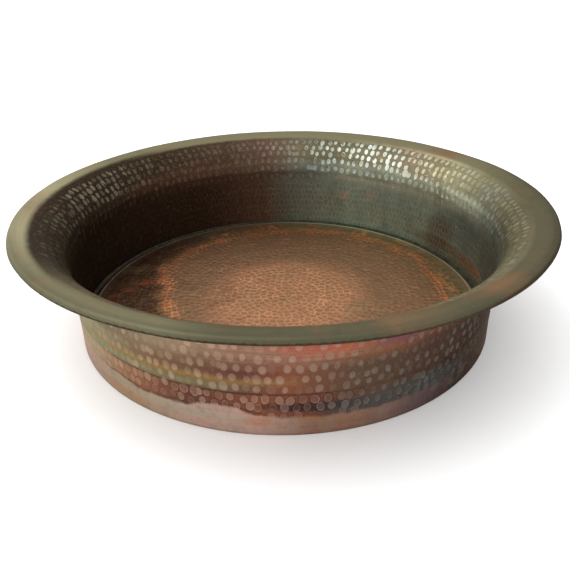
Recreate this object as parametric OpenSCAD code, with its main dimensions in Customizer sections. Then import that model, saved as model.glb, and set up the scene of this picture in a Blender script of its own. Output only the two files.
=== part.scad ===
// Hammered copper basin: a low, nearly straight wall that opens in a wide bell
// mouth to a wired rim, with a separate floor set into the foot of the wall.
// Millimetres, +Z up. The origin is on the table, at the centre of the foot.

/* [Overall] */
// Outer diameter across the rolled rim
rim_d = 432; // [424:1:452]
// Height from the table to the top of the rim
bowl_h = 102; // [92:1:130]
// Outside diameter of the foot
base_d = 350; // [340:1:352]
// Thickness of the copper sheet
sheet_t = 1.2; // [0.8:0.1:1.4]

/* [Mouth and rim] */
// Radius of the bell mouth between the wall and the rim
flare_r = 38; // [32:1:39]
// Diameter of the wire that the rim is rolled over
wire_d = 3; // [2.4:0.2:4]
// How far the sheet wraps round the wire, in degrees
roll_wrap = 290; // [240:5:292]

/* [Foot and floor] */
// Height of the plain upright band at the foot of the wall
band_h = 18; // [12:1:24]
// Height of the floor's top face above the table
floor_h = 10.4; // [9.6:0.2:12]
// Outer radius of the bend at the edge of the floor
floor_bend = 6.5; // [4:0.5:7]
// Height of the wall's folded hem behind the floor's skirt
hem_h = 3.4; // [2.6:0.2:3.4]
// Outer corner radius of the folded foot
foot_r = 1.2; // [0.6:0.1:1.6]

/* [Joints] */
// Width of the brazed joint that closes the wall
seam_w = 3; // [2:0.5:5]
// Angle round the wall of the brazed joint, from +X, in degrees
seam_az = 285; // [0:5:355]
// Height at which the solder in the floor joint meets the wall
solder_h = 10.8; // [10.6:0.2:12]
// Clearance between parts that nest in each other
nest = 0.05; // [0.02:0.01:0.1]

/* [Hidden] */
$fn = 180;

base_r = base_d / 2;
in_r = base_r - sheet_t;                    // inner face of the upright band
roll_in = wire_d / 2 + nest;                // inside of the rolled rim
roll_out = roll_in + sheet_t;               // outside of the rolled rim
wire_r = rim_d / 2 - roll_out;              // radius of the wire's centre line
wire_z = bowl_h - roll_out;                 // height of the wire's centre line
flare_z = bowl_h - flare_r;                 // centre of the bell mouth's curve
slot = sheet_t + 2 * nest;                  // gap in the foot's fold for the skirt
hem_r = in_r - slot;                        // outer face of the hem
foot_in = hem_r - sheet_t;                  // inner face of the hem
skirt_r = in_r - nest;                      // outer face of the floor's skirt
bend_c = [skirt_r - floor_bend, floor_h - floor_bend];
seam_deg = seam_w / (PI * base_d) * 360;

// Lean of the wall, found by repeated substitution so that the straight wall
// runs into the bell mouth without a kink
function lean(a = 2, n = 8) = n == 0 ? a :
    lean(atan((wire_r - flare_r * cos(a) - in_r) / (flare_z + flare_r * sin(a) - band_h)), n - 1);
wall_lean = lean();

// Points on an arc about c, radius r, from angle a0 to a1 in n steps
function arc(c, r, a0, a1, n) =
    [for (i = [0:n]) let (a = a0 + (a1 - a0) * i / n) [c[0] + r * cos(a), c[1] + r * sin(a)]];

// Section of the wall's sheet: over the wire, down the bell mouth and the wall,
// under the foot and up again behind the floor's skirt
inner_face = concat(
    arc([wire_r, wire_z], roll_out, 90 - roll_wrap, 90, 36),
    arc([wire_r, flare_z], flare_r, 93, 180 - wall_lean, 30),
    [[in_r, band_h], [in_r, sheet_t], [hem_r, sheet_t], [hem_r, hem_h]]);
outer_face = concat(
    [[foot_in, hem_h]],
    arc([foot_in + foot_r, foot_r], foot_r, 180, 270, 6),
    arc([base_r - foot_r, foot_r], foot_r, 270, 360, 6),
    [[base_r, band_h]],
    arc([wire_r, flare_z], flare_r - sheet_t, 180 - wall_lean, 93, 30),
    arc([wire_r, wire_z], roll_in, 90, 90 - roll_wrap, 36));

module wall_section() polygon(concat(inner_face, outer_face));

// Hammered wall with its bell mouth, rolled rim and folded foot, open by the
// width of the brazed joint
module wall() {
    color([0.42, 0.33, 0.27])
        rotate([0, 0, seam_az + seam_deg / 2])
            rotate_extrude(angle = 360 - seam_deg) wall_section();
}

// Brazed joint between the two ends of the wall's sheet
module side_seam() {
    color([0.50, 0.38, 0.26])
        rotate([0, 0, seam_az - seam_deg / 2])
            rotate_extrude(angle = seam_deg) wall_section();
}

// Wire inside the rolled rim, joined into a ring
module rim_wire() {
    color([0.62, 0.36, 0.24])
        rotate_extrude() translate([wire_r, wire_z]) circle(d = wire_d, $fn = 48);
}

// Hammered floor with its edge bent down into a skirt that sits in the foot
module floor_pan() {
    color([0.55, 0.34, 0.24])
        rotate_extrude() polygon(concat(
            [[0, floor_h]],
            arc(bend_c, floor_bend, 90, 0, 14),
            [[skirt_r, sheet_t + nest], [skirt_r - sheet_t, sheet_t + nest]],
            arc(bend_c, floor_bend - sheet_t, 0, 90, 14),
            [[0, floor_h - sheet_t]]));
}

// Solder that fills the groove between the floor's bend and the wall
module floor_seam() {
    color([0.60, 0.62, 0.58])
        rotate_extrude() polygon(concat(
            arc(bend_c, floor_bend + nest / 2, 14, 54, 10),
            [[in_r - nest / 2, solder_h],
             [in_r - nest / 2, bend_c[1] + floor_bend * sin(14)]]));
}

wall();
side_seam();
rim_wire();
floor_pan();
floor_seam();
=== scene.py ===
import bpy, math
import numpy as np
from mathutils import Matrix, Vector
from mathutils.kdtree import KDTree


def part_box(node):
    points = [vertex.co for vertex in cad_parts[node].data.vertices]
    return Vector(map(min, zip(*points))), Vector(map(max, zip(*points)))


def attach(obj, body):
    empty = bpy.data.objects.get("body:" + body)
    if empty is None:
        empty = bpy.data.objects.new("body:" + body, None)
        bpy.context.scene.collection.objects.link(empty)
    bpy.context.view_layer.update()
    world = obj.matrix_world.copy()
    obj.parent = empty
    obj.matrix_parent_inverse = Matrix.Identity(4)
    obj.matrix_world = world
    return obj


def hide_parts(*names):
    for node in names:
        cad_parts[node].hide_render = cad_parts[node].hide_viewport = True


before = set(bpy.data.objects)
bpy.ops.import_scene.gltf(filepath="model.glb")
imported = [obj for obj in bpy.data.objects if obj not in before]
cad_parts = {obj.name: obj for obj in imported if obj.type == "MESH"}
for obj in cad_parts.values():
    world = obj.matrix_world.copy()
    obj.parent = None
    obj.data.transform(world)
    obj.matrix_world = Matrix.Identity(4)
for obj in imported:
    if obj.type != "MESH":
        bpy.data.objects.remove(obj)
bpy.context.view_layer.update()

# ---------------------------------------------------------------- sizes (mm)
# The same rules as part.scad; the overall sizes are read from the frame.
_lo, _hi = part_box("wall")
RIM_R = round(_hi.x * 1000, 1)                      # 216
H = round(_hi.z * 1000, 1)                          # 102
SKIRT_R = round(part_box("floor_pan")[1].x * 1000, 2)  # 173.75
FLOOR_H = round(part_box("floor_pan")[1].z * 1000, 2)  # 10.4
T = 1.2
NEST = 0.05
IN_R = SKIRT_R + NEST
BASE_R = IN_R + T
FLARE = 38.0
ROLL_IN = 1.5 + NEST
ROLL_OUT = ROLL_IN + T
WIRE_R = RIM_R - ROLL_OUT
WIRE_Z = H - ROLL_OUT
FLARE_Z = H - FLARE
BAND_H = 18.0
HEM_H = 3.4
HEM_R = IN_R - T - 2 * NEST
FOOT_IN = HEM_R - T
FOOT_C = 1.2
BEND = 6.5
WRAP = 290.0
SEAM_AZ = 285.0
SEAM_W = 3.0
LEAN = 2.0
for _ in range(8):
    LEAN = math.degrees(math.atan((WIRE_R - FLARE * math.cos(math.radians(LEAN)) - IN_R)
                                  / (FLARE_Z + FLARE * math.sin(math.radians(LEAN)) - BAND_H)))
SEAM_HALF = SEAM_W / BASE_R / 2
TAU = 2 * math.pi


def rng(seed):
    return np.random.default_rng(seed)


# ---------------------------------------------------------------- the handmade shape
def wobble(phi, terms, seed):
    """A smooth closed curve round the bowl: a few low harmonics with fixed random phases."""
    r = rng(seed)
    out = np.zeros_like(phi)
    for n, amp in terms:
        out = out + amp * np.sin(n * phi + r.uniform(0, TAU))
    return out


RIM_TERMS = [(2, .30), (3, .22), (5, .12), (9, .07)]
RIM_FINE = [(14, .06), (23, .05), (31, .04)]
RIM_LIFT = [(2, .35), (3, .25), (4, .15), (7, .10), (13, .06)]
_all = np.linspace(0, TAU, 2881)
RIM_TOP = float((wobble(_all, RIM_TERMS, 625) + wobble(_all, RIM_FINE, 12)).max())
LIFT_TOP = float(wobble(_all, RIM_LIFT, 1172).max())


def warp(P):
    """How far the real bowl is from round and flat, the same for every piece and never outside the
    nominal size. P is (N, 3) in mm."""
    x, y, z = P[:, 0], P[:, 1], P[:, 2]
    phi = np.arctan2(y, x)
    r = np.hypot(x, y)
    up = np.clip(z / H, 0, 1)
    out = np.clip((r - 176) / 40, 0, 1)
    dr = (wobble(phi, RIM_TERMS, 625) * (.35 + .65 * up) + wobble(phi, RIM_FINE, 12) * out - RIM_TOP * up)
    dz = (wobble(phi, RIM_LIFT, 1172) - LIFT_TOP) * out ** 1.3 * up
    dr = dr * np.clip(r / 60, 0, 1) * np.where(r > 150, 1, (r / 150) ** 2)
    k = (r + dr) / np.maximum(r, 1e-6)
    return np.stack([x * k, y * k, z + dz], 1)


# ---------------------------------------------------------------- hammer marks
class Marks:
    """Hammer marks on a surface laid out flat: u is the angle round the bowl, v a length in mm.
    rad(v) turns the angle into mm. Each mark is a shallow dish: angle, v, half width, half height,
    turn, depth, and one random number."""

    def __init__(self, rad, place):
        self.rad, self.place, self.rows = rad, place, []

    def add(self, u, v, a, b, turn, depth, rnd):
        self.rows.append((u % TAU, v, a, b, turn, depth, rnd))

    def done(self):
        self.m = np.array(self.rows)
        P = self.place(self.m[:, 0], self.m[:, 1])
        self.tree = KDTree(len(P))
        for i, p in enumerate(P):
            self.tree.insert(p, i)
        self.tree.balance()
        return self

    def middle(self, u):
        return np.arctan2(np.sin(u).mean(1), np.cos(u).mean(1))

    def q(self, i, u, v):
        """Where a point is in mark i, as a share of the mark's half sizes."""
        m = self.m[i]
        du = (u - m[..., 0] + math.pi) % TAU - math.pi
        du = du * self.rad(m[..., 1])
        dv = v - m[..., 1]
        c, s = np.cos(m[..., 4]), np.sin(m[..., 4])
        return (du * c + dv * s) / m[..., 2], (-du * s + dv * c) / m[..., 3]

    def height(self, us, vs, reach=1.5):
        """Depth of the marks on a grid with rows vs and columns us (radians, rising, evenly spaced)."""
        h = np.zeros((len(vs), len(us)))
        du0 = us[1] - us[0]
        full = us[-1] - us[0] + du0 > TAU - 1e-3
        for k, (u, v, a, b, turn, d, rnd) in enumerate(self.m):
            big = max(a, b) * reach
            j0, j1 = np.searchsorted(vs, [v - big, v + big])
            if j1 <= j0:
                continue
            w = big / self.rad(v)
            i0 = int(math.floor((u - w - us[0]) / du0)); i1 = int(math.ceil((u + w - us[0]) / du0)) + 1
            idx = np.arange(i0, i1)
            n_turn = int(round(TAU / du0))
            idx = idx % n_turn if full else idx
            for base in ([0] if full else [0, n_turn, -n_turn]):
                ii = idx + base
                ok = (ii >= 0) & (ii < len(us))
                if not ok.any():
                    continue
                ii = ii[ok]
                qx, qy = self.q(k, us[ii][None, :], vs[j0:j1][:, None])
                g = d * (qx * qx + qy * qy - 1)
                sub = h[j0:j1][:, ii]
                h[j0:j1, ii] = np.minimum(sub, g)
        return h

    def corners(self, cu, cv, cen, allowed):
        """For each triangle's corners (cu, cv: n x 3) the place in its nearest mark, how far the next
        mark is, and the mark's random number. allowed says which triangles are on this surface."""
        n = len(cen)
        mk = np.full((n, 3, 3), 9.0, np.float32)
        rd = np.full((n, 3), 9.0, np.float32)
        t = np.nonzero(allowed)[0]
        ids = nearest(self.tree, cen[t], 4)
        cuc = self.middle(cu[t])
        qx, qy = self.q(ids, cuc[:, None], cv[t].mean(1)[:, None])
        g = self.m[ids, 5] * (qx * qx + qy * qy - 1)
        o = np.argsort(g, axis=1)
        i = np.take_along_axis(ids, o[:, :1], 1)
        j = np.take_along_axis(ids, o[:, 1:2], 1)
        ax, ay = self.q(i, cu[t], cv[t])
        bx, by = self.q(j, cu[t], cv[t])
        mk[t, :, 0], mk[t, :, 1], mk[t, :, 2] = ax, ay, self.m[i, 6]
        rd[t] = (bx * bx + by * by) - (ax * ax + ay * ay)
        return mk, rd


def nearest(tree, P, n):
    return np.array([[x[1] for x in tree.find_n(p, n)] for p in P.tolist()])


def ring_of_marks(marks, v, pitch, a, b, depth, r, jitter=(.6, .5), wave=.5, phase=0., skip=0., double=.05, spread=.1, size=None, close=None):
    turn = np.linspace(0, TAU, 1441)
    dens = np.array([1 / close(t) if close else 1.0 for t in turn])
    cum = np.concatenate([[0.0], np.cumsum((dens[1:] + dens[:-1]) / 2)])
    n = int(round(TAU * marks.rad(v) / pitch * cum[-1] / 1440))
    p1, p2 = r.uniform(0, TAU, 2)
    for i in range(n):
        if r.random() < skip:
            continue
        u = float(np.interp((i + phase) / n, cum / cum[-1], turn)) + r.normal(0, jitter[0]) / marks.rad(v)
        vv = v + r.normal(0, jitter[1]) + wave * math.sin(3 * u + p1) + wave * .6 * math.sin(7 * u + p2)
        k = math.exp(r.normal(0, spread)) * (size(u) if size else 1)
        marks.add(u, vv, a * k * math.exp(r.normal(0, spread * .7)), b * k * math.exp(r.normal(0, spread * .7)),
                  r.normal(0, .16), depth * math.exp(r.normal(0, .22)), r.random())
        if r.random() < double:
            marks.add(u + pitch * .45 / marks.rad(v), vv + r.normal(0, 1.4), a * .9, b * .9, r.normal(0, .3),
                      depth * .9, r.random())


TH_END = math.radians(90 - LEAN)            # where the bell mouth meets the straight wall
WALL_TOP_Z = FLARE_Z + FLARE * math.cos(TH_END)


def surface(side):
    """Profile of the sheet's inner/upper face (side=0) or outer/lower face (side=1) as a function of the
    length v along it from the rim (v=0 over the wire's centre) down to the table."""
    rho = FLARE - (T if side else 0)
    arc = rho * TH_END
    r_end = WIRE_R - rho * math.sin(TH_END)
    z_end = FLARE_Z + rho * math.cos(TH_END)
    r_low = BASE_R if side else IN_R
    straight = math.hypot(z_end - BAND_H, r_end - r_low)

    def f(v):
        v = np.asarray(v, float)
        th = np.clip(v, None, arc) / rho
        r = WIRE_R - rho * np.sin(th); z = FLARE_Z + rho * np.cos(th)
        nr, nz = -np.sin(th), np.cos(th)
        k = np.clip((v - arc) / straight, 0, 1)
        on = v > arc
        r = np.where(on, r_end + (r_low - r_end) * k, r)
        z = np.where(on, z_end + (BAND_H - z_end) * k, z)
        low = np.clip(v - arc - straight, 0, None)
        z = z - low
        nr = np.where(low > 0, -1.0, nr); nz = np.where(low > 0, 0.0, nz)
        s = -1.0 if side else 1.0
        return r, z, nr * s, nz * s
    f.arc, f.total = arc, arc + straight + BAND_H
    return f


S_IN, S_OUT = surface(0), surface(1)


def placed(S):
    def place(u, v):
        r, z, _, _ = S(v)
        return np.stack([r * np.cos(u), r * np.sin(u), z], 1)
    return place


def v_of_z(S, z):
    vs = np.linspace(0, S.total, 4000)
    return float(np.interp(-z, -S(vs)[1], vs))


def smaller_right(u):
    """Marks at the front right were made with the smaller face of the hammer."""
    d = math.degrees(u) % 360
    return 1 - .14 * min(1, max(0, (d - 280) / 12)) if 270 < d < 350 else 1


def left_side(u):
    """1 at the middle of the front left, 0 from 50 degrees away."""
    d = abs(math.degrees(u) % 360 - 208) / 50
    return .5 + .5 * math.cos(math.pi * min(1, d))


def closer_left(u):
    """Marks at the front left were struck closer together."""
    return 1 - .24 * left_side(u)


def mark_size(u):
    return smaller_right(u) * (1 - .10 * left_side(u))


# outside of the wall: rows of separate oval marks, below the bell mouth and up under it
out_marks = Marks(lambda v: S_OUT(v)[0], placed(S_OUT))
_r = rng(21)
for k, z in enumerate([22.9, 29.8, 38.4, 45.7, 53.8, 61.8, 69.8]):
    low = z < 32
    ring_of_marks(out_marks, v_of_z(S_OUT, z), 7.9, 2.75, 3.6 if low else 3.35, .3, _r, jitter=(.85, .55), wave=.5,
                  phase=.5 * (k % 2), double=.03, spread=.09, size=mark_size, close=closer_left)
ring_of_marks(out_marks, v_of_z(S_OUT, 15.8), 7.9, 2.7, 3.0, .14, _r, jitter=(.9, .6), wave=.5, skip=.45, double=0)
for k, v in enumerate(np.arange(v_of_z(S_OUT, 69.8) - 8.0, 12, -7.9)):
    ring_of_marks(out_marks, v, 8.0, 2.8, 3.4, .26, _r, jitter=(.8, .5), wave=.5, phase=.5 * (k % 2), size=mark_size, close=closer_left)
out_marks.done()

# inside: separate marks on the bell mouth, then finer marks that run into each other down the wall
in_marks = Marks(lambda v: S_IN(v)[0], placed(S_IN))
_r = rng(22)
for k, v in enumerate([22.4, 29.6, 36.8, 44.2, 52.0, 59.8]):
    ring_of_marks(in_marks, v, 7.3, 2.35, 3.25, .3 if k < 5 else .22, _r, jitter=(.6, .6), wave=.45,
                  phase=.5 * (k % 2), double=.01, skip=.04, spread=.10)
v = 67.0
k = 0
while v < v_of_z(S_IN, 12.5):
    ring_of_marks(in_marks, v, 4.5, 2.7, 4.3, .2, _r, jitter=(.6, .8), wave=.4, phase=.5 * (k % 2), double=.02)
    v += 6.2; k += 1
in_marks.done()

class FlatMarks(Marks):
    """The same on the flat floor: u is x and v is y, both in mm."""

    def __init__(self):
        super().__init__(lambda v: 1.0, lambda u, v: np.stack([u, v, np.full_like(v, FLOOR_H)], 1))

    def add(self, u, v, a, b, turn, depth, rnd):
        self.rows.append((u, v, a, b, turn, depth, rnd))

    def middle(self, u):
        return u.mean(1)

    def q(self, i, u, v):
        m = self.m[i]
        du, dv = u - m[..., 0], v - m[..., 1]
        c, s = np.cos(m[..., 4]), np.sin(m[..., 4])
        return (du * c + dv * s) / m[..., 2], (-du * s + dv * c) / m[..., 3]

    def height_at(self, P):
        ids = nearest(self.tree, P, 5)
        qx, qy = self.q(ids, P[:, 0][:, None], P[:, 1][:, None])
        g = self.m[ids, 5] * (qx * qx + qy * qy - 1)
        return np.minimum(g.min(1), 0)


# floor: rings of round marks that run into each other, with a plainer border
fl_marks = FlatMarks()
_r = rng(23)
rr = 3.2
while rr < 163:
    far = rr > 147
    n = int(round(TAU * rr / (5.7 if not far else 7.6)))
    ph = _r.random()
    for i in range(n):
        if far and _r.random() < .25:
            continue
        a = (i + ph) / n * TAU + _r.normal(0, .85) / rr
        q = rr + _r.normal(0, .8)
        k = math.exp(_r.normal(0, .1))
        fl_marks.add(q * math.cos(a), q * math.sin(a), (3.5 if not far else 3.0) * k * math.exp(_r.normal(0, .09)),
                     (3.5 if not far else 3.0) * k * math.exp(_r.normal(0, .09)), _r.uniform(0, 3.1),
                     (.27 if not far else .10) * math.exp(_r.normal(0, .25)), _r.random())
    rr += 5.3 if not far else 6.4
fl_marks.done()


# ---------------------------------------------------------------- mesh helpers
def link(o):
    bpy.context.scene.collection.objects.link(o)
    return o


def mesh_from(name, V, quads=None, tris=None, ngons=()):
    """V in mm. Smooth shaded closed mesh."""
    me = bpy.data.meshes.new(name)
    V = np.asarray(V, np.float32) / 1000
    me.vertices.add(len(V))
    me.vertices.foreach_set("co", V.ravel())
    parts, sizes = [], []
    if quads is not None and len(quads):
        parts.append(np.asarray(quads, np.int32).ravel()); sizes.append(np.full(len(quads), 4))
    if tris is not None and len(tris):
        parts.append(np.asarray(tris, np.int32).ravel()); sizes.append(np.full(len(tris), 3))
    for g in ngons:
        parts.append(np.asarray(g, np.int32)); sizes.append(np.array([len(g)]))
    loops = np.concatenate(parts); sizes = np.concatenate(sizes)
    me.loops.add(len(loops)); me.loops.foreach_set("vertex_index", loops)
    me.polygons.add(len(sizes))
    start = np.concatenate([[0], np.cumsum(sizes)[:-1]]).astype(np.int32)
    me.polygons.foreach_set("loop_start", start)
    me.polygons.foreach_set("loop_total", sizes.astype(np.int32))
    me.update(calc_edges=True)
    me.validate()
    me.polygons.foreach_set("use_smooth", np.ones(len(me.polygons), bool))
    return me


def ring_quads(J, I, close_j, close_i, flip=False):
    jj = np.arange(J if close_j else J - 1); ii = np.arange(I if close_i else I - 1)
    j, i = np.meshgrid(jj, ii, indexing="ij")
    j2, i2 = (j + 1) % J, (i + 1) % I
    q = np.stack([j * I + i, j * I + i2, j2 * I + i2, j2 * I + i], -1).reshape(-1, 4)
    return q[:, ::-1] if flip else q


def thinned(me, target, name):
    """The same surface with at most target triangles: flat stretches lose points, the marks keep theirs."""
    o = link(bpy.data.objects.new(name + "_dense", me))
    n = sum(len(p.vertices) - 2 for p in me.polygons) if len(me.polygons) < 50000 else None
    if n is None:
        tot = np.zeros(len(me.polygons), np.int32); me.polygons.foreach_get("loop_total", tot); n = int((tot - 2).sum())
    if n <= target:
        bpy.data.objects.remove(o)
        return me
    mod = o.modifiers.new("thin", "DECIMATE")
    mod.ratio = target / n
    mod.use_collapse_triangulate = True
    dg = bpy.context.evaluated_depsgraph_get()
    out = bpy.data.meshes.new_from_object(o.evaluated_get(dg), depsgraph=dg)
    out.name = name
    bpy.data.objects.remove(o)
    bpy.data.meshes.remove(me)
    out.polygons.foreach_set("use_smooth", np.ones(len(out.polygons), bool))
    return out


def mesh_arrays(me):
    V = np.zeros(len(me.vertices) * 3, np.float32); me.vertices.foreach_get("co", V)
    L = np.zeros(len(me.loops), np.int32); me.loops.foreach_get("vertex_index", L)
    T_ = np.zeros(len(me.polygons), np.int32); me.polygons.foreach_get("loop_total", T_)
    return V.reshape(-1, 3).astype(float) * 1000, L, T_


def set_attr(me, name, kind, domain, values):
    a = me.attributes.new(name, kind, domain)
    key = "vector" if kind == "FLOAT_VECTOR" else "value"
    a.data.foreach_set(key, np.ascontiguousarray(values, np.float32).ravel())


def set_positions(me, V):
    me.vertices.foreach_set("co", (np.asarray(V, np.float32) / 1000).ravel())
    me.update()


# ---------------------------------------------------------------- the wall's section
STEP = 0.8


def run(a, b, step):
    n = max(2, int(math.ceil(abs(b - a) / step)) + 1)
    return np.linspace(a, b, n)


def section():
    """Closed section of the sheet, in order: (r, z, nr, nz, kind, v). kind 0 is smooth, 1 carries the
    outer marks, 2 carries the inner marks."""
    out = []

    def put(r, z, nr, nz, kind, v):
        for x in zip(np.atleast_1d(r), np.atleast_1d(z), np.broadcast_to(nr, np.shape(np.atleast_1d(r))),
                     np.broadcast_to(nz, np.shape(np.atleast_1d(r))), np.broadcast_to(kind, np.shape(np.atleast_1d(r))),
                     np.broadcast_to(v, np.shape(np.atleast_1d(r)))):
            out.append(tuple(float(y) for y in x))
    # outside of the roll, from its raw edge round to the top
    a = np.radians(np.linspace(90 - WRAP, 86, 26))
    put(WIRE_R + ROLL_OUT * np.cos(a), WIRE_Z + ROLL_OUT * np.sin(a), np.cos(a), np.sin(a), 0, -ROLL_OUT * (math.pi / 2 - a))
    # bell mouth and inner face down to the floor joint
    v = np.concatenate([run(0, 20, 1.6), run(20, v_of_z(S_IN, 11), STEP)[1:], run(v_of_z(S_IN, 11), v_of_z(S_IN, T), 2.4)[1:]])
    r, z, nr, nz = S_IN(v)
    put(r, z, nr, nz, 2, v)
    # foot: slot, hem, fold
    put([HEM_R, HEM_R], [T, HEM_H - .15], [1, 1], [0, 0], 0, 200)
    put([HEM_R - .15], [HEM_H], [0], [1], 0, 200)
    put([FOOT_IN + .15], [HEM_H], [0], [1], 0, 200)
    put([FOOT_IN], [HEM_H - .15], [-1], [0], 0, 200)
    a = np.radians(np.linspace(180, 270, 7))
    put(FOOT_IN + FOOT_C + FOOT_C * np.cos(a), FOOT_C + FOOT_C * np.sin(a), np.cos(a), np.sin(a), 0, 200)
    a = np.radians(np.linspace(270, 360, 7))
    put(BASE_R - FOOT_C + FOOT_C * np.cos(a), FOOT_C + FOOT_C * np.sin(a), np.cos(a), np.sin(a), 3, v_of_z(S_OUT, 1.2))
    # outer face up to the roll
    v = np.concatenate([run(v_of_z(S_OUT, 1.6), v_of_z(S_OUT, 12.5), 1.5), run(v_of_z(S_OUT, 12.5), 12, STEP)[1:], run(12, 2, 1.8)[1:]])
    r, z, nr, nz = S_OUT(v)
    put(r, z, nr, nz, 1, v)
    # inside of the roll, back to the raw edge
    a = np.radians(np.linspace(88, 90 - WRAP, 18))
    put(WIRE_R + ROLL_IN * np.cos(a), WIRE_Z + ROLL_IN * np.sin(a), -np.cos(a), -np.sin(a), 0, -1)
    return np.array(out)


def relief(sec, us):
    """Depth in mm at each point of the section for each angle us, along the section's normal."""
    J = len(sec)
    h = np.zeros((J, len(us)))
    for kind, marks in ((1, out_marks), (2, in_marks)):
        m = np.nonzero(sec[:, 4] == kind)[0]
        vs = sec[m, 5]
        order = np.argsort(vs)
        g = marks.height(us, vs[order])
        h[m[order]] = g
    # the flange is planished smooth but not flat: long soft beats
    m = np.nonzero((sec[:, 4] == 2) & (sec[:, 5] < 26))[0]
    k = np.clip((26 - sec[m, 5]) / 8, 0, 1)[:, None]
    k = k * np.clip(sec[m, 5] / 4, 0, 1)[:, None]
    h[m] += k * (wobble(us, [(41, .04), (57, .04), (83, .03), (29, .05)], 31)[None, :]
                 + .04 * np.sin(sec[m, 5] * .5)[:, None] * wobble(us, [(37, 1), (61, .7)], 32)[None, :] - .16)
    return h


SEC = section()


def revolve(sec, us, h=None, grow=0.0):
    r = sec[:, 0][:, None]; z = sec[:, 1][:, None]
    d = (h if h is not None else 0) + grow
    R = r + sec[:, 2][:, None] * d
    Z = z + sec[:, 3][:, None] * d
    R, Z = np.broadcast_arrays(R + 0 * us[None, :], Z + 0 * us[None, :])
    return np.stack([R * np.cos(us)[None, :], R * np.sin(us)[None, :], Z], -1)


def corner_marks(me, which):
    """Stores on the mesh where each corner lies in its hammer mark (mark), how far off the next mark is
    (ridge) and whether it is on the inside (inner)."""
    V, L, _ = mesh_arrays(me)
    tri = L.reshape(-1, 3)
    P = V[tri]
    cen = P.mean(1)
    nrm = np.cross(P[:, 1] - P[:, 0], P[:, 2] - P[:, 0])
    nrm /= np.maximum(np.linalg.norm(nrm, axis=1), 1e-12)[:, None]
    u = np.arctan2(P[..., 1], P[..., 0])
    mk = np.full((len(tri), 3, 3), 9.0, np.float32); rd = np.full((len(tri), 3), 9.0, np.float32)
    if which == "wall":
        r = np.hypot(P[..., 0], P[..., 1]); z = P[..., 2]
        th = np.arctan2(WIRE_R - r, np.maximum(z - FLARE_Z, 1e-3))
        th = np.where(z > WALL_TOP_Z, np.clip(th, 0, TH_END), TH_END)
        cth = th.mean(1)
        cr = np.hypot(cen[:, 0], cen[:, 1])
        nr = (nrm[:, 0] * cen[:, 0] + nrm[:, 1] * cen[:, 1]) / cr
        inner = (nr * -np.sin(cth) + nrm[:, 2] * np.cos(cth)) > 0
        roll = (cr > WIRE_R - 1.0)
        vin = np.where(z > WALL_TOP_Z, FLARE * th, S_IN.arc + (WALL_TOP_Z - z))
        zo = S_OUT(np.array([S_OUT.arc]))[1][0]
        vout = np.where(z > zo, (FLARE - T) * th, S_OUT.arc + (zo - z))
        a, b = in_marks.corners(u, vin, cen, inner & ~roll & (cen[:, 2] > 10) & (vin.mean(1) > 19))
        c, d = out_marks.corners(u, vout, cen, ~inner & ~roll & (cen[:, 2] > 11) & (vout.mean(1) > 10) & (cr > IN_R))
        use = b < 8.5
        mk = np.where(use[..., None], a, c); rd = np.where(use, b, d)
        inn = np.repeat((inner | (cr > WIRE_R - .2) & (nrm[:, 2] > 0)).astype(np.float32)[:, None], 3, 1)
        set_attr(me, "inner", "FLOAT", "CORNER", inn)
    else:
        r = np.hypot(cen[:, 0], cen[:, 1])
        top = (nrm[:, 2] > .5) & (cen[:, 2] > FLOOR_H - 1.3) & (r < 165.5)
        mk, rd = fl_marks.corners(P[..., 0], P[..., 1], cen, top)
    set_attr(me, "mark", "FLOAT_VECTOR", "CORNER", mk)
    set_attr(me, "ridge", "FLOAT", "CORNER", rd)


def finish_piece(me, name, mat, node, marks=None):
    if marks:
        corner_marks(me, marks)
    V, _, _ = mesh_arrays(me)
    set_positions(me, warp(V))
    o = link(bpy.data.objects.new(name, me))
    me.materials.clear()
    me.materials.append(mat)
    me.set_sharp_from_angle(angle=math.radians(62))
    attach(o, "root")
    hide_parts(node)
    return o


# ---------------------------------------------------------------- node helpers
def srgb(r, g, b):
    f = lambda c: c / 12.92 if c <= .04045 else ((c + .055) / 1.055) ** 2.4
    return (f(r / 255), f(g / 255), f(b / 255), 1.0)


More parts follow.
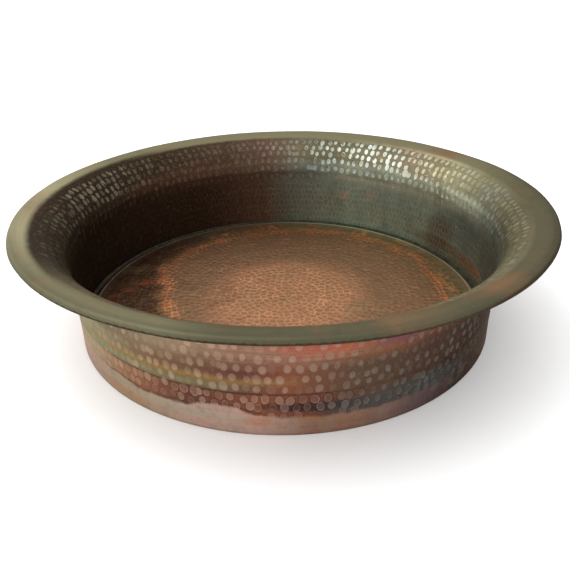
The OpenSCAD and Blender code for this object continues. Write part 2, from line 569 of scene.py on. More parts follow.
class Tree:
    def __init__(self, name):
        self.mat = bpy.data.materials.new(name)
        self.mat.use_nodes = True
        self.t = self.mat.node_tree
        self.t.nodes.clear()
        self.out = self.t.nodes.new("ShaderNodeOutputMaterial")
        self.bsdf = self.t.nodes.new("ShaderNodeBsdfPrincipled")
        self.t.links.new(self.bsdf.outputs[0], self.out.inputs[0])
        tc = self.t.nodes.new("ShaderNodeTexCoord")
        self.obj = tc.outputs["Object"]
        sep = self.new("ShaderNodeSeparateXYZ"); self.link(self.obj, sep.inputs[0])
        self.x, self.y, self.z = sep.outputs

    def new(self, kind, **kw):
        n = self.t.nodes.new(kind)
        for k, v in kw.items():
            setattr(n, k, v)
        return n

    def link(self, a, b):
        self.t.links.new(a, b)

    def feed(self, sock, v):
        if isinstance(v, bpy.types.NodeSocket):
            self.link(v, sock)
        else:
            sock.default_value = v

    def m(self, op, a, b=None, c=None, clamp=False):
        n = self.new("ShaderNodeMath", operation=op, use_clamp=clamp)
        self.feed(n.inputs[0], a)
        if b is not None: self.feed(n.inputs[1], b)
        if c is not None: self.feed(n.inputs[2], c)
        return n.outputs[0]

    def add(self, a, b): return self.m("ADD", a, b)
    def sub(self, a, b): return self.m("SUBTRACT", a, b)
    def mul(self, a, b): return self.m("MULTIPLY", a, b)
    def mx(self, a, b): return self.m("MAXIMUM", a, b)
    def mn(self, a, b): return self.m("MINIMUM", a, b)

    def step(self, x, lo, hi, a=0.0, b=1.0):
        """Smooth rise from a to b as x goes from lo to hi (lo may be above hi)."""
        n = self.new("ShaderNodeMapRange", interpolation_type="SMOOTHSTEP")
        if lo > hi:
            lo, hi, a, b = hi, lo, b, a
        self.feed(n.inputs["Value"], x)
        n.inputs["From Min"].default_value = lo; n.inputs["From Max"].default_value = hi
        n.inputs["To Min"].default_value = a; n.inputs["To Max"].default_value = b
        return n.outputs["Result"]

    def bump_at(self, x, c, w):
        """1 at x=c, falling to 0 at c-w and c+w."""
        return self.step(self.m("ABSOLUTE", self.sub(x, c)), w, 0.0)

    def blob(self, u, v, cu, cv, wu, wv, soft=.5):
        """An elliptical spot, 1 in its middle."""
        a = self.mul(self.sub(u, cu), 1 / wu); b = self.mul(self.sub(v, cv), 1 / wv)
        d = self.add(self.mul(a, a), self.mul(b, b))
        return self.step(d, 1.0, 1.0 - soft)

    def mix(self, f, a, b, blend="MIX"):
        n = self.new("ShaderNodeMix", data_type="RGBA", blend_type=blend)
        self.feed(n.inputs[0], f); self.feed(n.inputs[6], a); self.feed(n.inputs[7], b)
        return n.outputs[2]

    def mixf(self, f, a, b):
        n = self.new("ShaderNodeMix", data_type="FLOAT")
        self.feed(n.inputs[0], f); self.feed(n.inputs[2], a); self.feed(n.inputs[3], b)
        return n.outputs[0]

    def ramp(self, f, stops, interp="LINEAR"):
        n = self.new("ShaderNodeValToRGB")
        n.color_ramp.interpolation = interp
        e = n.color_ramp.elements
        while len(e) > 1: e.remove(e[-1])
        e[0].position, e[0].color = stops[0][0], stops[0][1]
        for p, c in stops[1:]:
            k = e.new(p); k.color = c
        self.feed(n.inputs[0], f)
        return n.outputs[0]

    def noise(self, scale, detail=3.0, rough=.55, vec=None, dist=0.0, lo=None, hi=None, w=None):
        n = self.new("ShaderNodeTexNoise")
        if w is not None:
            n.noise_dimensions = "4D"; n.inputs["W"].default_value = w
        self.feed(n.inputs["Vector"], vec if vec is not None else self.obj)
        n.inputs["Scale"].default_value = scale; n.inputs["Detail"].default_value = detail
        n.inputs["Roughness"].default_value = rough; n.inputs["Distortion"].default_value = dist
        if lo is not None:
            return self.step(n.outputs["Fac"], lo, hi)
        return n.outputs["Fac"]

    def vec(self, x, y, z):
        n = self.new("ShaderNodeCombineXYZ")
        self.feed(n.inputs[0], x); self.feed(n.inputs[1], y); self.feed(n.inputs[2], z)
        return n.outputs[0]

    def attr(self, name, out="Fac"):
        n = self.new("ShaderNodeAttribute", attribute_name=name)
        return n.outputs[out]

    def bump(self, height, strength, distance, normal=None):
        n = self.new("ShaderNodeBump")
        n.inputs["Strength"].default_value = strength; n.inputs["Distance"].default_value = distance
        self.feed(n.inputs["Height"], height)
        if normal is not None: self.link(normal, n.inputs["Normal"])
        return n.outputs[0]


def mark_inputs(g):
    """(inside of a mark 0..1, squared distance from its middle, ridge 0..1 between two marks, random)."""
    sep = g.new("ShaderNodeSeparateXYZ"); g.link(g.attr("mark", "Vector"), sep.inputs[0])
    qx, qy, rnd = sep.outputs
    q2 = g.add(g.mul(qx, qx), g.mul(qy, qy))
    ridge = g.step(g.attr("ridge"), .55, .05)
    return q2, ridge, rnd, qx, qy


# ---------------------------------------------------------------- patina shared by inside and outside
# the finishes that old copper takes, by name; the belts below are laid out in these, and some of them also carry
# painted light and shade
SABLE, COCOA, UMBER, MAROON, BROWN = (45, 35, 25), (60, 45, 35), (80, 60, 50), (100, 65, 55), (95, 75, 60)
TAN, RUSSET, COPPER, ROSE, BLUSH = (120, 95, 70), (130, 80, 60), (145, 100, 75), (150, 115, 95), (185, 155, 140)
OLIVE, MOSS, KHAKI, BUFF, SAGE = (90, 85, 65), (115, 110, 85), (140, 125, 100), (170, 150, 120), (150, 145, 115)
PLUM, SLATE, VERDIGRIS, CELADON = (110, 90, 90), (110, 115, 105), (145, 165, 150), (185, 190, 165)


def belt(g, angle, stops):
    """Colour round the bowl from a list of (degrees, finish); degrees run -180..180."""
    return g.ramp(g.mul(g.add(angle, 180.0), 1 / 360.0), [((d + 180) / 360, srgb(*c)) for d, c in stops])


def ang(g, a, b):
    return g.mul(g.m("ARCTAN2", a, b), 180 / math.pi)


def wall_material():
    g = Tree("wall copper")
    r = g.mul(g.m("SQRT", g.add(g.mul(g.x, g.x), g.mul(g.y, g.y))), 1000.0)
    wx = g.noise(9, 3, w=1.0); wz = g.noise(24, 5, .62, w=2.0)
    phi0 = ang(g, g.x, g.mul(g.y, -1.0)); psi0 = ang(g, g.x, g.y)
    phi = g.add(phi0, g.mul(g.sub(wx, .5), 9)); psi = g.add(psi0, g.mul(g.sub(wx, .5), 9))
    on = g.step(g.m("ABSOLUTE", phi0), 178, 130)       # 0 where the outside angles meet, at the back
    off = g.step(g.m("ABSOLUTE", psi0), 178, 130)      # 0 where the inside angles meet, at the front
    zt = g.mul(g.z, 1000.0)
    z = g.add(zt, g.mul(g.sub(wz, .5), 7.0))
    q2, ridge, rnd, qx, qy = mark_inputs(g)
    fine = g.noise(430, 5, .65, w=3.0)
    mid = g.noise(80, 5, .62, w=4.0)
    broad = g.noise(17, 4, .6, w=5.0)

    # ---- outside: belts of colour one above the other; paler at the left and darker at the right, partly painted light and shade for light coming from the left on top of the patina's own colours, and the dark high up at -55 degrees partly painted shade under the bell mouth
    high = belt(g, phi, [(-180, BROWN), (-110, TAN), (-55, UMBER), (-30, KHAKI), (-10, ROSE), (5, ROSE), (15, COPPER),
                         (25, RUSSET), (40, UMBER), (60, BROWN), (180, BROWN)])
    middle = belt(g, phi, [(-180, BROWN), (-110, KHAKI), (-55, SAGE), (-30, TAN), (-10, MAROON), (0, RUSSET), (15, BROWN),
                           (30, UMBER), (50, COCOA), (80, UMBER), (110, BROWN), (180, BROWN)])
    lower = belt(g, phi, [(-180, TAN), (-110, BUFF), (-55, BUFF), (-35, COPPER), (-20, MAROON), (-5, RUSSET), (10, MAROON),
                          (20, BROWN), (40, COCOA), (60, UMBER), (110, BROWN), (180, TAN)])
    foot = belt(g, phi, [(-180, COPPER), (-110, BUFF), (-60, BLUSH), (-40, BUFF), (-20, BLUSH), (-5, BLUSH), (5, ROSE),
                         (15, ROSE), (30, PLUM), (45, COCOA), (70, UMBER), (110, BROWN), (180, COPPER)])
    c = g.mix(g.step(z, 50, 66), middle, high)
    c = g.mix(g.step(zt, 33.8, 32.8), c, lower)
    # blush high up in the middle and purple to its right
    c = g.mix(g.mul(g.blob(phi, z, 7, 73, 15, 15, .95), .6), c, srgb(176, 84, 64))
    c = g.mix(g.mul(g.blob(phi, z, 26, 69, 10, 9, .95), .7), c, srgb(118, 76, 88))
    c = g.mix(g.mul(g.blob(phi, z, 38, 70, 8, 8, .95), .45), c, srgb(140, 72, 50))
    # green and yellow bands at the left, just above the sharp line
    c = g.mix(g.mul(g.mul(g.mul(g.step(phi, -2, -20), g.step(phi, -120, -80)), g.bump_at(z, 37.5, 5)), .6), c, srgb(126, 132, 96))
    c = g.mix(g.mul(g.mul(g.mul(g.step(phi, 8, -8), g.step(phi, -66, -44)), g.bump_at(z, 43, 4.5)), .5), c, srgb(158, 130, 74))
    c = g.mix(g.mul(g.mul(g.bump_at(zt, 33.9, 1.1), g.mul(g.step(phi, -52, -40), g.step(phi, 24, 6))), .7), c, srgb(56, 38, 30))
    c = g.mix(g.mul(g.blob(phi, z, 6, 23.5, 15, 4.5, .8), .8), c, srgb(42, 36, 36))
    c = g.mix(g.mul(g.blob(phi, z, 27, 20, 24, 13, .95), .65), c, srgb(78, 82, 82))
    # plain band at the foot, its edge wandering
    edge = g.add(g.add(17.0, g.mul(g.mul(g.step(phi, -25, -60), on), 3.5)), g.mul(g.blob(phi, 0.0, -14, 0, 7.5, 1, .98), 5.0))
    edge = g.sub(edge, g.mul(g.mul(g.step(phi, -8, 0), on), 1.6))
    zf = g.add(g.sub(zt, edge), g.mul(g.sub(g.noise(45, 5, .65, w=8.0), .5), 9.0))
    zfn = g.add(zf, g.mul(g.sub(mid, .5), 5.0))
    ft = g.step(zfn, 1.4, -1.8)
    foot = g.mix(g.mul(g.blob(phi, z, -42, 7, 12, 5, .95), .45), foot, srgb(190, 130, 100))
    foot = g.mix(g.mul(g.blob(phi, z, -6, 12, 4.5, 5, .95), .6), foot, srgb(186, 122, 82))
    foot = g.mix(g.mul(g.blob(phi, z, 5, 15.5, 7, 3.5, .95), .55), foot, srgb(152, 112, 72))
    foot = g.mix(g.mul(g.noise(52, 5, .65, w=7.0, lo=.48, hi=.66), .42), foot, g.mix(.6, foot, srgb(150, 146, 134)))
    foot = g.mix(g.mul(g.noise(95, 4, .65, w=7.5, lo=.52, hi=.66), .4), foot, g.mix(.55, foot, srgb(150, 84, 74)))
    foot = g.mix(g.mul(g.blob(phi, z, -28, 13, 26, 7, .95), .5), foot, srgb(165, 160, 140))
    foot = g.mix(g.mul(g.noise(230, 4, .65, w=23.0, lo=.48, hi=.60), .3), foot, g.mix(.55, foot, srgb(110, 95, 85)))
    foot = g.mix(g.mul(g.step(zt, 2.6, .6), .5), foot, g.mix(.7, foot, srgb(52, 44, 40)))
    c = g.mix(ft, c, foot)
    c = g.mix(g.mul(g.mul(g.bump_at(zfn, 1.2, 1.6), g.mul(g.step(phi, -56, -44), g.step(phi, 0, -8))), .6), c, srgb(78, 60, 46))
    # under the bell mouth
    under = g.step(zt, 79, 85)
    c = g.mix(under, c, g.mix(broad, srgb(84, 76, 54), srgb(104, 82, 58)))
    c = g.mix(g.mul(g.blob(phi, zt, -19, 77, 9, 5, .8), .7), c, srgb(168, 112, 70))
    # fine turning lines
    lines = g.noise(1.0, 3, .65, vec=g.vec(g.mul(phi, .03), 0.0, g.mul(zt, 1.3)), lo=.40, hi=.62)
    c = g.mix(g.mul(lines, g.add(.10, g.mul(g.blob(phi, z, -2, 58, 26, 16, .9), .18))), c, srgb(70, 40, 30))
    # marks: each dish a little paler than the metal round it, a soft dark line round the low ones
    soft = g.add(q2, g.mul(g.sub(mid, .5), 1.1))
    inside = g.step(soft, 1.25, .35)
    pale = g.mix(.58, c, g.mix(g.mul(g.step(phi, -20, 28), on), srgb(200, 170, 150), srgb(128, 126, 120)))
    strong = g.mul(g.step(zt, 33.5, 31.5), g.add(.2, g.mul(g.mul(g.step(phi, -50, -20), on), .8)))
    amt = g.mul(inside, g.mul(g.step(rnd, 0, 1, .14, .72), g.sub(1.0, g.mul(ft, .75))))
    amt = g.mul(amt, g.mul(g.sub(1.0, g.mul(under, .8)), g.add(.4, g.mul(g.mul(g.step(phi, -66, -30), g.step(phi, 62, 42)), .5))))
    ring = g.mul(g.bump_at(q2, .74, .3), g.mul(strong, g.sub(1.0, ft)))
    rim_of = g.mul(g.bump_at(q2, 1.16, .3), g.mul(g.add(.16, g.mul(strong, .5)), g.sub(1.0, ft)))
    dish = g.mix(g.mul(amt, g.sub(1.0, g.mul(strong, .2))), c, pale)
    dish = g.mix(g.mul(ring, g.mul(.36, g.step(mid, .35, .6))), dish, g.mix(g.mul(g.step(phi, 0, 24), on), srgb(214, 168, 146), srgb(136, 134, 128)))
    out_c = g.mix(rim_of, dish, g.mix(.7, c, srgb(34, 20, 16)))

    # ---- inside: by angle from the back and height; darker at the left and paler at the right, partly painted shade on the left wall and painted light on the right, on top of the patina's own colours
    top = belt(g, psi, [(-180, TAN), (-120, OLIVE), (-80, SABLE), (-50, COCOA), (-20, COCOA), (-5, UMBER), (10, OLIVE),
                        (25, MOSS), (45, KHAKI), (60, SAGE), (72, MOSS), (95, OLIVE), (130, MOSS), (180, TAN)])
    low = belt(g, psi, [(-180, BROWN), (-120, SABLE), (-60, COCOA), (-30, COCOA), (-18, UMBER), (-8, BROWN), (2, SLATE),
                        (25, VERDIGRIS), (70, VERDIGRIS), (90, SLATE), (120, OLIVE), (180, BROWN)])
    mids = belt(g, psi, [(-180, TAN), (-120, COCOA), (-80, COCOA), (-50, COCOA), (-20, UMBER), (-5, BROWN), (10, SLATE),
                         (25, CELADON), (75, CELADON), (95, SLATE), (130, OLIVE), (180, TAN)])
    ic = g.mix(g.step(z, 72, 84), g.mix(g.step(z, 54, 68), low, mids), top)
    ic = g.mix(g.mul(g.blob(psi, z, 23, 45, 2.8, 6, .98), .28), ic, srgb(225, 165, 125))
    ic = g.mix(g.mul(g.blob(psi, z, 33, 48, 3.4, 8, .98), .26), ic, srgb(215, 170, 140))
    ic = g.mix(g.mul(g.mul(g.blob(psi, z, 80, 21, 13, 9, .95), g.noise(300, 4, .6, w=22.0, lo=.46, hi=.56)), .8), ic, srgb(220, 145, 95))
    ic = g.mix(g.mul(g.blob(psi, z, 68, 19, 24, 11, .95), .6), ic, srgb(95, 70, 45))
    ic = g.mix(g.mul(g.blob(psi, z, -9, 18, 7, 2.2, .9), .55), ic, srgb(118, 52, 42))
    ic = g.mix(g.mul(g.blob(psi, z, -38, 74, 26, 16, .9), .3), ic, srgb(92, 54, 38))
    ic = g.mix(g.mul(g.blob(psi, z, 72, 46, 14, 22, .9), .4), ic, srgb(88, 92, 94))
    ic = g.mix(g.mul(g.blob(psi, z, 62, 32, 8, 26, .98), .5), ic, srgb(*UMBER))
    var = g.noise(21, 4, .6, w=9.0)
    ic = g.mix(g.mul(g.mul(g.step(var, .52, .66), g.mul(off, g.step(psi, -10, 20))), .35), ic, srgb(92, 98, 100))
    ic = g.mix(g.mul(g.mul(g.step(var, .46, .34), g.mul(off, g.step(psi, -10, 20))), .35), ic, srgb(110, 92, 62))
    # upright smears down the wall
    smear = g.noise(1.0, 4, .6, vec=g.vec(g.mul(g.x, 90), g.mul(g.y, 90), g.mul(g.z, 9)), lo=.42, hi=.66)
    ic = g.mix(g.mul(smear, .22), ic, g.mix(.5, ic, srgb(40, 34, 26)))
    # painted shade: the left side of the bell mouth, which faces away from the light, darkened to sable
    painted_shade_left = g.mul(g.mul(g.step(psi, -140, -118), g.step(psi, -20, -48)), g.mul(g.step(r, 174, 184), .95))
    ic = g.mix(painted_shade_left, ic, srgb(*SABLE))
    # the separate marks of the bell mouth, a little paler everywhere and much paler as a painted highlight where the
    # right side faces the light and, less, at the left; the metal between them is painted darker as shade where they
    # are bright
    bright = g.add(g.mul(g.mx(g.bump_at(psi, 32, 26), g.mul(g.mx(g.bump_at(psi, 19, 21), g.bump_at(psi, 50, 34)), .62)), g.step(zt, 60, 72)), g.mul(g.mul(g.bump_at(psi, -72, 46), .46), g.mul(g.step(zt, 72, 80), g.step(zt, 100.5, 96))))
    soft_i = g.add(q2, g.mul(g.sub(mid, .5), .6))
    inside_i = g.mul(g.step(soft_i, 1.0, .55), g.step(zt, 55, 64))
    gap = g.mul(g.mul(g.sub(1.0, inside_i), g.step(q2, 30.0, 3.0)), g.step(bright, .05, .7))
    ic = g.mix(g.mul(gap, .62), ic, g.mix(.75, ic, srgb(24, 26, 20)))
    pale_i = g.mix(g.mul(g.step(psi, 36, 60), off), g.mix(g.step(psi, -20, 2), srgb(150, 138, 116), srgb(172, 186, 178)), srgb(186, 182, 150))
    ic = g.mix(g.mul(g.mul(inside_i, g.step(rnd, 0, 1, .35, 1.0)), g.mx(g.mul(bright, .92), g.step(psi, -14, 4, .12, .2))), ic, pale_i)
    ic = g.mix(g.mul(g.mul(g.bump_at(q2, 1.15, .4), g.step(zt, 56, 64)), .35), ic, g.mix(.7, ic, srgb(30, 26, 20)))
    # lower down thin pale ridges between the marks
    rr_ = g.mul(ridge, g.step(zt, 60, 52))
    ic = g.mix(g.mul(g.mul(rr_, g.step(mid, .38, .62)), g.add(.05, g.mul(g.mul(g.step(psi, -30, 25), off), .45))), ic, g.mix(.75, ic, srgb(196, 198, 182)))
    ic = g.mix(g.mul(g.mul(g.step(q2, .5, .0), g.step(zt, 60, 52)), .22), ic, g.mix(.6, ic, srgb(30, 32, 30)))
    # flange
    fl = belt(g, phi0, [(-180, MOSS), (-125, MOSS), (-100, SAGE), (-90, KHAKI), (-75, SAGE), (-50, MOSS), (-20, MOSS), (-10, OLIVE), (15, OLIVE),
                        (15.8, TAN), (30, OLIVE), (36, OLIVE), (39, TAN), (43, TAN), (48, OLIVE), (95, OLIVE),
                        (120, MOSS), (126, TAN), (134, MOSS), (180, MOSS)])
    fr = g.add(r, g.mul(g.sub(mid, .5), 3.0))
    flange = g.mixf(g.mul(g.step(phi0, -150, -125), g.step(phi0, -38, -52)), g.step(fr, 195.5, 199.5), g.step(fr, 198.5, 204.5))
    streak = g.noise(1.0, 4, .6, vec=g.vec(g.mul(phi0, .09), 0.0, g.mul(r, .55)), lo=.38, hi=.64)
    fl = g.mix(g.mul(streak, .26), fl, g.mix(.5, fl, srgb(90, 92, 72)))
    fl = g.mix(g.mul(g.noise(34, 4, .6, w=6.0, lo=.5, hi=.68), .3), fl, g.mix(.5, fl, srgb(150, 100, 70)))
    fl = g.mix(g.mul(g.mul(g.step(r, 205, 213), g.step(phi0, -95, -60)), g.mul(g.step(phi0, 120, 90), .42)), fl, srgb(68, 70, 57))
    ic = g.mix(flange, ic, fl)
    # painted shade: the underside of the roll and the wall just below it darkened, more strongly and higher up on the
    # right side, away from the light
    roll_top = g.add(98.4, g.mul(g.mul(g.step(phi0, 20, 60), on), 2.6))
    roll = g.mul(g.step(r, 209.5, 211.5), g.step(g.sub(zt, roll_top), .9, -.9))
    roll = g.mul(roll, g.add(.45, g.mul(g.mul(g.step(phi0, -80, -30), on), .4)))
    ic = g.mix(roll, ic, srgb(50, 42, 30)); out_c = g.mix(g.mul(g.step(r, 209.5, 211.5), .7), out_c, srgb(46, 38, 28))

    inner = g.attr("inner")
    side = g.step(inner, .4, .6)
    col = g.mix(side, out_c, ic)
    # mottling at several sizes
    col = g.mix(g.mul(g.step(mid, .52, .72), .24), col, g.mix(.6, col, srgb(38, 26, 20)))
    col = g.mix(g.mul(g.step(fine, .5, .72), g.sub(.17, g.mul(g.mul(flange, side), .11))), col, g.mix(.6, col, srgb(214, 190, 158)))
    col = g.mix(g.mul(g.step(broad, .55, .75), .14), col, srgb(100, 104, 84))
    g.feed(g.bsdf.inputs["Base Color"], col)
    g.bsdf.inputs["Metallic"].default_value = 1.0
    g.bsdf.inputs["Specular Tint"].default_value = (.55, .55, .55, 1)     # tarnish dulls the glancing shine
    rough = g.add(.42, g.mul(fine, .16))
    rough = g.add(rough, g.mul(g.mul(flange, side), .10))
    rough = g.sub(rough, g.mul(inside_i, g.mul(bright, .12)))
    rough = g.add(rough, g.mul(g.sub(1.0, side), .06))
    g.feed(g.bsdf.inputs["Roughness"], rough)
    scr = g.noise(1.0, 4, .7, vec=g.vec(g.mul(g.x, 500), g.mul(g.y, 500), g.mul(g.z, 1600)))
    g.link(g.bump(g.add(g.mul(fine, .7), g.mul(scr, .3)), .18, .0004), g.bsdf.inputs["Normal"])
    return g.mat


def floor_material():
    g = Tree("floor copper")
    X, Y = g.mul(g.x, 1000.0), g.mul(g.y, 1000.0)
    nx = g.noise(18, 3, w=11.0); ny = g.noise(64, 4, w=12.0)
    r0 = g.m("SQRT", g.add(g.mul(X, X), g.mul(Y, Y)))
    az = ang(g, g.y, g.x)       # 0 right, 90 back
    r = g.add(r0, g.add(g.mul(g.sub(nx, .5), 22), g.mul(g.sub(ny, .5), 20)))
    q2, ridge, rnd, qx, qy = mark_inputs(g)
    fine = g.noise(430, 5, .65, w=13.0); mid = g.noise(90, 5, .62, w=14.0)
    # ring of bright crackle, nearer the middle at the left and front
    ca = g.m("COSINE", g.mul(g.sub(az, 45), math.pi / 180))
    left = g.m("COSINE", g.mul(g.sub(az, 195), math.pi / 180))
    ring_r = g.sub(g.add(134.0, g.mul(ca, 14.0)), g.step(left, .7, 1.0, 0.0, 20.0))
    d = g.add(g.sub(r, ring_r), g.mul(g.sub(mid, .5), 10.0))
    ground = g.mix(g.step(r, 54, 84), srgb(145, 105, 78), srgb(118, 90, 68))
    ground = g.mix(g.step(d, -26, 4), ground, srgb(118, 88, 64))
    right = g.m("COSINE", g.mul(g.sub(az, 40), math.pi / 180))
    outer = g.mix(g.step(right, -.4, .8), srgb(62, 44, 34), srgb(112, 100, 74))
    ground = g.mix(g.step(d, -3, 15), ground, outer)
    ground = g.mix(g.mul(g.noise(26, 4, .6, w=15.0, lo=.5, hi=.68), .35), ground, srgb(112, 104, 74))
    ground = g.mix(g.mul(g.mul(g.noise(22, 4, .6, w=18.0, lo=.5, hi=.66), g.step(right, -.2, -.8)), .4), ground, srgb(76, 54, 40))
    patchy = g.noise(48, 4, .65, w=16.0, lo=.40, hi=.62)
    glow = g.mx(g.mul(g.bump_at(d, -2, 13), g.step(patchy, 0, 1, .4, 1.0)), g.mul(g.step(r, 74, 48), g.step(patchy, 0, 1, .5, .95)))
    glow = g.mx(glow, g.mul(patchy, g.mul(.26, g.step(d, 30, 0))))
    glow = g.mx(glow, g.mul(g.mul(g.step(g.noise(70, 4, .6, w=19.0), .46, .58), g.bump_at(d, 8, 17)), g.step(right, -.5, .4, .0, .8)))
    thin = g.step(g.add(g.attr("ridge"), g.mul(g.sub(mid, .5), .8)), .48, .0)
    edge = g.mx(g.mul(thin, .85), g.mul(g.step(q2, .5, 1.0), .3))
    band = g.mul(g.mul(g.bump_at(d, 0, 8), g.step(g.noise(58, 5, .7, w=21.0), .42, .58)), g.step(right, -1, .8, .42, .62))
    ground = g.mix(band, ground, srgb(176, 104, 64))
    c = g.mix(g.mul(edge, g.add(.10, g.mul(glow, .8))), ground, g.mix(g.step(r, 90, 110), srgb(210, 155, 115), srgb(220, 145, 95)))
    c = g.mix(g.mul(g.mul(g.step(q2, .6, .1), g.step(rnd, .3, .9)), .16), c, srgb(104, 82, 58))
    # red streaks in the dark ring at the left
    st = g.blob(g.add(X, g.mul(Y, -.9)), g.add(g.mul(X, .9), Y), -156, -96, 12, 60, .9)
    c = g.mix(g.mul(g.mul(st, g.noise(90, 3, w=17.0, lo=.42, hi=.6)), .6), c, srgb(136, 70, 50))
    # line round the bend, polished by wear, and brighter towards the back right as a painted highlight
    line = g.mul(g.bump_at(r0, 167.1, 1.5), g.step(g.m("COSINE", g.mul(g.sub(az, 48), math.pi / 180)), -.9, .9, .35, 1.0))
    c = g.mix(line, c, srgb(214, 216, 194))
    c = g.mix(g.mul(g.step(r0, 168.0, 169.2), .8), c, g.mix(g.step(right, -.6, .6), srgb(52, 44, 36), srgb(94, 94, 78)))
    c = g.mix(g.mul(g.step(mid, .52, .72), .26), c, g.mix(.6, c, srgb(38, 26, 20)))
    c = g.mix(g.mul(g.step(fine, .5, .72), .2), c, g.mix(.6, c, srgb(214, 180, 146)))
    g.feed(g.bsdf.inputs["Base Color"], c)
    g.bsdf.inputs["Metallic"].default_value = 1.0
    g.bsdf.inputs["Specular Tint"].default_value = (.45, .45, .45, 1)
    g.feed(g.bsdf.inputs["Roughness"], g.sub(g.add(.42, g.mul(fine, .16)), g.mul(line, .2)))
    g.link(g.bump(fine, .18, .0004), g.bsdf.inputs["Normal"])
    return g.mat


def plain_metal(name, a, b, rough, scale=160, seed=0.0):
    g = Tree(name)
    n = g.noise(scale, 5, .65, w=20.0 + seed); f = g.noise(scale * 4, 4, .6, w=30.0 + seed)
    c = g.mix(g.step(n, .35, .65), a, b)
    c = g.mix(g.mul(g.step(f, .5, .7), .3), c, srgb(48, 34, 26))
    g.feed(g.bsdf.inputs["Base Color"], c)
    g.bsdf.inputs["Metallic"].default_value = 1.0
    g.bsdf.inputs["Specular Tint"].default_value = (.4, .4, .4, 1)
    g.feed(g.bsdf.inputs["Roughness"], g.add(rough, g.mul(f, .2)))
    g.link(g.bump(f, .3, .0005), g.bsdf.inputs["Normal"])
    return g.mat


# ---------------------------------------------------------------- the pieces
WALL_MAT = wall_material()
N = int(round(TAU * WIRE_R / STEP))
A0 = math.radians(SEAM_AZ)


def sheet_piece(name, us, mat, node, target):
    h = relief(SEC, us)
    P = revolve(SEC, us, h)                      # J x I x 3
    J, I = P.shape[:2]
    quads = ring_quads(J, I, True, False)
    caps = [list(range(0, J * I, I)), [j * I + I - 1 for j in range(J)][::-1]]
    me = mesh_from(name, P.reshape(-1, 3), quads=quads, ngons=caps)
    me = thinned(me, target, name)
    return finish_piece(me, name, mat, node, "wall")


us = np.linspace(A0 + SEAM_HALF, A0 + TAU - SEAM_HALF, N)
wall = sheet_piece("wall_hammered", us, WALL_MAT, "wall", 195000)

SEAM_MAT = WALL_MAT.copy(); SEAM_MAT.name = "braze"
us = np.linspace(A0 - SEAM_HALF, A0 + SEAM_HALF, 5)
seam = sheet_piece("side_seam_braze", us, SEAM_MAT, "side_seam", 8000)

# wire
def tube_ring(name, R0, Z0, rad, n_sec, n_round, mat, node):
    a = np.linspace(0, TAU, n_sec, endpoint=False)
    sec = np.stack([R0 + rad * np.cos(a), Z0 + rad * np.sin(a), np.cos(a), np.sin(a), 0 * a, 0 * a], 1)
    u = np.linspace(0, TAU, n_round, endpoint=False)
    P = revolve(sec, u)
    me = mesh_from(name, P.reshape(-1, 3), quads=ring_quads(n_sec, n_round, True, True))
    return finish_piece(me, name, mat, node)


WIRE_MAT = plain_metal("wire copper", srgb(128, 74, 50), srgb(92, 58, 42), .38, seed=1.0)
wire = tube_ring("rim_wire_rod", WIRE_R, WIRE_Z, 1.5, 14, 540, WIRE_MAT, "rim_wire")

# floor pan: rings from the middle of the top out over the bend, down the skirt and back under
BEND_R = SKIRT_R - BEND
BEND_Z = FLOOR_H - BEND
NF = 1280


def count_at(r):
    n = NF
    while n > 20 and TAU * r / n < STEP * .62:
        n //= 2
    return n


rings = []          # r, z, n
rr = STEP
while rr < BEND_R - .3:
    rings.append((rr, FLOOR_H, count_at(rr), 1))
    rr += STEP
a = np.radians(np.linspace(90, 0, 12))
for t in a:
    rings.append((BEND_R + BEND * math.cos(t), BEND_Z + BEND * math.sin(t), NF, 0))
for z in (2.6, 1.35):
    rings.append((SKIRT_R, z, NF, 0))
rings.append((SKIRT_R - .1, 1.25, NF, 0)); rings.append((SKIRT_R - T + .1, 1.25, NF, 0))
for z in (1.35, 2.6):
    rings.append((SKIRT_R - T, z, NF, 0))
for t in a[::-1]:
    rings.append((BEND_R + (BEND - T) * math.cos(t), BEND_Z + (BEND - T) * math.sin(t), NF, 0))
rr = BEND_R - 4
k = NF
while rr > 3:
    k2 = NF
    while k2 > 20 and TAU * rr / k2 < 4.0:
        k2 //= 2
    k = max(k2, k // 2)
    rings.append((rr, FLOOR_H - T, k, 0))
    rr -= 4.0

verts, tris, base, marked = [], [], [], []
for (r, z, n, top) in rings:
    base.append(len(verts))
    u = np.arange(n) / n * TAU
    for x in u:
        verts.append((r * math.cos(x), r * math.sin(x), z))
    marked += [top] * n
c_top = len(verts); verts.append((0, 0, FLOOR_H)); marked.append(1)
c_bot = len(verts); verts.append((0, 0, FLOOR_H - T)); marked.append(0)
for j in range(len(rings) - 1):
    n0, n1, b0, b1 = rings[j][2], rings[j + 1][2], base[j], base[j + 1]
    if n0 == n1:
        i = np.arange(n0); i2 = (i + 1) % n0
        tris.append(np.stack([b0 + i, b1 + i, b1 + i2], 1)); tris.append(np.stack([b0 + i, b1 + i2, b0 + i2], 1))
    elif n1 == 2 * n0:
        i = np.arange(n0); i2 = (i + 1) % n0; k0, k1, k2 = 2 * i, 2 * i + 1, (2 * i + 2) % n1
        tris += [np.stack([b0 + i, b1 + k0, b1 + k1], 1), np.stack([b0 + i, b1 + k1, b0 + i2], 1), np.stack([b0 + i2, b1 + k1, b1 + k2], 1)]
    elif n0 == 2 * n1:
        i = np.arange(n1); i2 = (i + 1) % n1; k0, k1, k2 = 2 * i, 2 * i + 1, (2 * i + 2) % n0
        tris += [np.stack([b1 + i, b0 + k1, b0 + k0], 1), np.stack([b1 + i, b1 + i2, b0 + k1], 1), np.stack([b1 + i2, b0 + k2, b0 + k1], 1)]
    else:
        raise SystemExit("ring counts %d %d" % (n0, n1))
n0 = rings[0][2]; i = np.arange(n0)
tris.append(np.stack([np.full(n0, c_top), base[0] + i, base[0] + (i + 1) % n0], 1))
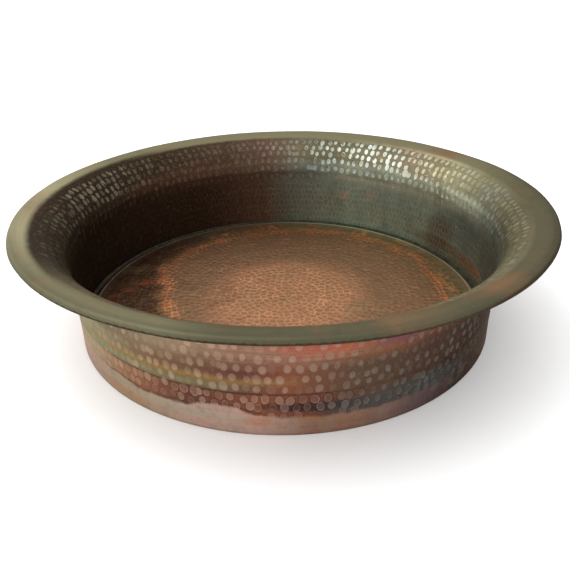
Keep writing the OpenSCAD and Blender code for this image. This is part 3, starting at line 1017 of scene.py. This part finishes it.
n1 = rings[-1][2]; i = np.arange(n1)
tris.append(np.stack([np.full(n1, c_bot), base[-1] + (i + 1) % n1, base[-1] + i], 1))
V = np.array(verts); F = np.concatenate(tris)
mk = np.nonzero(np.array(marked))[0]
rad = np.hypot(V[mk, 0], V[mk, 1])
drop = fl_marks.height_at(V[mk]) * np.clip((165.5 - rad) / 3, 0, 1)
drop += -.45 * np.clip((BEND_R - .4 - rad) / 5, 0, 1) ** .7
V[mk, 2] += np.minimum(drop, 0)
me = mesh_from("floor_pan", V, tris=F)
me = thinned(me, 180000, "floor_pan")
FLOOR_MAT = floor_material()
pan = finish_piece(me, "floor_hammered", FLOOR_MAT, "floor_pan", "floor")

# solder in the groove between the floor's bend and the wall
SOLDER_H = round(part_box("floor_seam")[1].z * 1000, 2)
t = np.radians(np.linspace(14, 54, 9))
sr = BEND_R + (BEND + .025) * np.cos(t); sz = BEND_Z + (BEND + .025) * np.sin(t)
pts = [(IN_R - .025, sz[0])] + list(zip(sr, sz)) + [(IN_R - .6, SOLDER_H - .55), (IN_R - .025, SOLDER_H)]
pts = pts[:1] + pts[1:]
J = len(pts)
u = np.linspace(0, TAU, 900, endpoint=False)
R = np.array([p[0] for p in pts])[:, None] + 0 * u[None, :]
Z = np.array([p[1] for p in pts])[:, None] + 0 * u[None, :]
ww = wobble(u, [(31, .06), (53, .06), (88, .05), (137, .04)], 41) - .21
Z[-1] += ww; Z[-2] += ww * .7
P = np.stack([R * np.cos(u), R * np.sin(u), Z], -1)
me = mesh_from("floor_seam", P.reshape(-1, 3), quads=ring_quads(J, len(u), True, True))
SOLDER_MAT = plain_metal("solder", srgb(66, 60, 48), srgb(48, 42, 34), .55, seed=2.0)
solder = finish_piece(me, "floor_solder", SOLDER_MAT, "floor_seam")

# ---------------------------------------------------------------- stage, light, camera
def table_material():
    g = Tree("table")
    n = g.noise(6, 3, .5, w=50.0)
    g.feed(g.bsdf.inputs["Base Color"], g.mix(n, (.86, .86, .86, 1), (.90, .90, .90, 1)))
    g.bsdf.inputs["Roughness"].default_value = .8
    g.bsdf.inputs["Specular IOR Level"].default_value = .15
    return g.mat


R_T = 9.0
tn = 96
tv = [(0, 0, 0)] + [(R_T * 1000 * math.cos(i / tn * TAU), R_T * 1000 * math.sin(i / tn * TAU), 0) for i in range(tn)]
tme = mesh_from("table", tv, tris=[(0, i + 1, (i + 1) % tn + 1) for i in range(tn)])
table = link(bpy.data.objects.new("table", tme))
tme.materials.append(table_material())

scene = bpy.context.scene
world = bpy.data.worlds.new("studio"); scene.world = world
world.use_nodes = True
wb = world.node_tree.nodes["Background"]
# a bright tent, brighter to the left and overhead than to the right
_wt = world.node_tree
_tc = _wt.nodes.new("ShaderNodeTexCoord")
_dot = _wt.nodes.new("ShaderNodeVectorMath"); _dot.operation = "DOT_PRODUCT"
_wt.links.new(_tc.outputs["Generated"], _dot.inputs[0])
_dot.inputs[1].default_value = Vector((-.80, .10, .59)).normalized()
_mr = _wt.nodes.new("ShaderNodeMapRange"); _mr.interpolation_type = "SMOOTHSTEP"
_wt.links.new(_dot.outputs["Value"], _mr.inputs[0])
_mr.inputs[1].default_value = -.7; _mr.inputs[2].default_value = .9
_mr.inputs[3].default_value = 1.05; _mr.inputs[4].default_value = 1.70
_wt.links.new(_mr.outputs[0], wb.inputs[1])
wb.inputs[0].default_value = (1, 1, 1, 1)


def area(name, at, to, size, power, color=(1, 1, 1)):
    d = bpy.data.lights.new(name, "AREA"); d.shape = "DISK"; d.size = size; d.energy = power; d.color = color
    o = link(bpy.data.objects.new(name, d))
    o.location = at
    o.rotation_euler = (Vector(to) - Vector(at)).to_track_quat("-Z", "Y").to_euler()
    return o


key_dir = Vector((-.45, -.08, .89)).normalized()
area("key", key_dir * 1.7, (0, 0, .05), 1.5, 11)

e, roll = math.radians(28.13), math.radians(1.10)
fwd = Vector((0, math.cos(e), -math.sin(e))); right = Vector((1, 0, 0)); up = Vector((0, math.sin(e), math.cos(e)))
c_, s_ = math.cos(roll), math.sin(roll)
r2 = c_ * right - s_ * up; u2 = s_ * right + c_ * up
cam = bpy.data.cameras.new("camera"); cam.sensor_width = 36; cam.lens = 638.1 / 570 * 36
cam.clip_start = .01; cam.clip_end = 50
co = link(bpy.data.objects.new("camera", cam))
M = Matrix((r2, u2, -fwd)).transposed().to_4x4()
M.translation = Vector((.0004, -.5003, .2873))
co.matrix_world = M
scene.camera = co
scene.view_settings.view_transform = "Standard"
